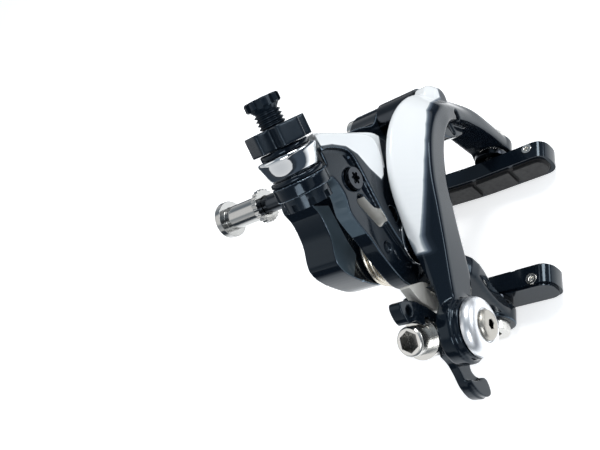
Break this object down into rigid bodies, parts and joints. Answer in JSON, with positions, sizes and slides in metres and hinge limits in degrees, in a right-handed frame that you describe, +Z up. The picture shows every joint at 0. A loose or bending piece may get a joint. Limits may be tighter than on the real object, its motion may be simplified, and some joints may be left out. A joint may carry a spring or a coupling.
{
  "type": "caliper brake",
  "caption": "Dual-pivot side-pull rim brake caliper for a road bicycle, with quick release lever, cable adjuster, return spring and cartridge pads, drawn sprung open.",
  "frame": {"origin": "on the centre bolt's axis, where the bracket's back boss seats on the bicycle's frame", "axes": "+X to the right as seen from the brake's front, +Y to the back along the centre bolt, +Z up"},
  "size_m": [0.0988, 0.093, 0.1086],
  "materials": {
    "gloss_black": "gloss black anodised and polished aluminium, with white and silver painted panels",
    "bare_steel": "bare turned steel, lightly scratched",
    "chrome": "polished",
    "dark_plastic": "matt dark grey",
    "black_plastic": "satin black moulding",
    "pad_rubber": "matt black brake rubber",
    "spring_steel": "drawn spring wire with a warm tint"
  },
  "bodies": {
    "bracket": {"mounting_bracket": "gloss_black", "centre_bolt": "gloss_black", "serrated_washer": "bare_steel", "sleeve_nut": "bare_steel", "left_pivot_shaft": "bare_steel", "right_pivot_shaft": "bare_steel", "right_pivot_spacer": "gloss_black", "return_spring": "spring_steel", "spring_bush": "dark_plastic", "centring_screw": "chrome"},
    "front_arm": {"front_arm": "gloss_black", "roller_pin": "bare_steel", "cable_plate": "bare_steel", "right_pad_holder": "gloss_black", "right_pad_insert": "pad_rubber", "right_pad_screw": "bare_steel", "right_pad_bolt": "bare_steel", "right_concave_washer": "dark_plastic", "right_convex_washer": "bare_steel"},
    "adjuster_arm": {"adjuster_arm": "gloss_black", "stop_screw": "gloss_black", "arm_screw": "bare_steel", "left_pivot_ring": "chrome", "adjuster_rim": "dark_plastic", "adjuster_cup": "chrome", "adjuster_base_ring": "black_plastic", "adjuster_seat": "dark_plastic", "left_pad_holder": "gloss_black", "left_pad_insert": "pad_rubber", "left_pad_screw": "bare_steel", "left_pad_bolt": "bare_steel", "left_concave_washer": "dark_plastic", "left_convex_washer": "bare_steel"},
    "link_roller": {"link_roller": "dark_plastic"},
    "quick_release": {"lever": "gloss_black", "lever_disc": "chrome", "disc_bolt": "bare_steel", "lever_hub": "bare_steel", "clamp_block": "gloss_black", "pinch_bolt": "bare_steel", "pinch_washer": "bare_steel"},
    "adjuster_nut": {"adjuster_nut": "black_plastic"},
    "adjuster_barrel": {"adjuster_barrel": "black_plastic"}
  },
  "joints": [
    {"name": "front_arm_pivot", "type": "hinge", "parent": "bracket", "child": "front_arm", "pos_m": [0.0235, -0.03, -0.0105], "axis": [0, 1, 0], "range_deg": [0, 11], "stiffness_Nm_per_rad": 0.8, "springref_deg": -20.05},
    {"name": "adjuster_arm_pivot", "type": "hinge", "parent": "bracket", "child": "adjuster_arm", "pos_m": [-0.0235, -0.023, -0.0105], "axis": [0, 1, 0], "range_deg": [-11, 0], "deforming": ["return_spring"]},
    {"name": "roller_spin", "type": "hinge", "parent": "front_arm", "child": "link_roller", "pos_m": [0, -0.022, -0.0132], "axis": [0, 1, 0], "continuous": true},
    {"name": "quick_release_turn", "type": "hinge", "parent": "front_arm", "child": "quick_release", "pos_m": [-0.048, -0.03, -0.0208], "axis": [0, 1, 0], "range_deg": [-45, 0]},
    {"name": "adjuster_nut_turn", "type": "hinge", "parent": "adjuster_arm", "child": "adjuster_nut", "pos_m": [-0.0262, -0.0202, 0.0284], "axis": [0.6561, 0, 0.7547], "range_deg": [-720, 1080]},
    {"name": "adjuster_barrel_slide", "type": "slide", "parent": "adjuster_arm", "child": "adjuster_barrel", "axis": [0.6561, 0, 0.7547], "range_m": [-0.002, 0.003]}
  ],
  "couplings": [
    {"joint": "adjuster_arm_pivot", "follows": "front_arm_pivot", "ratio": -1},
    {"joint": "adjuster_nut_turn", "follows": "adjuster_barrel_slide", "rad_per_m": 6283}
  ]
}
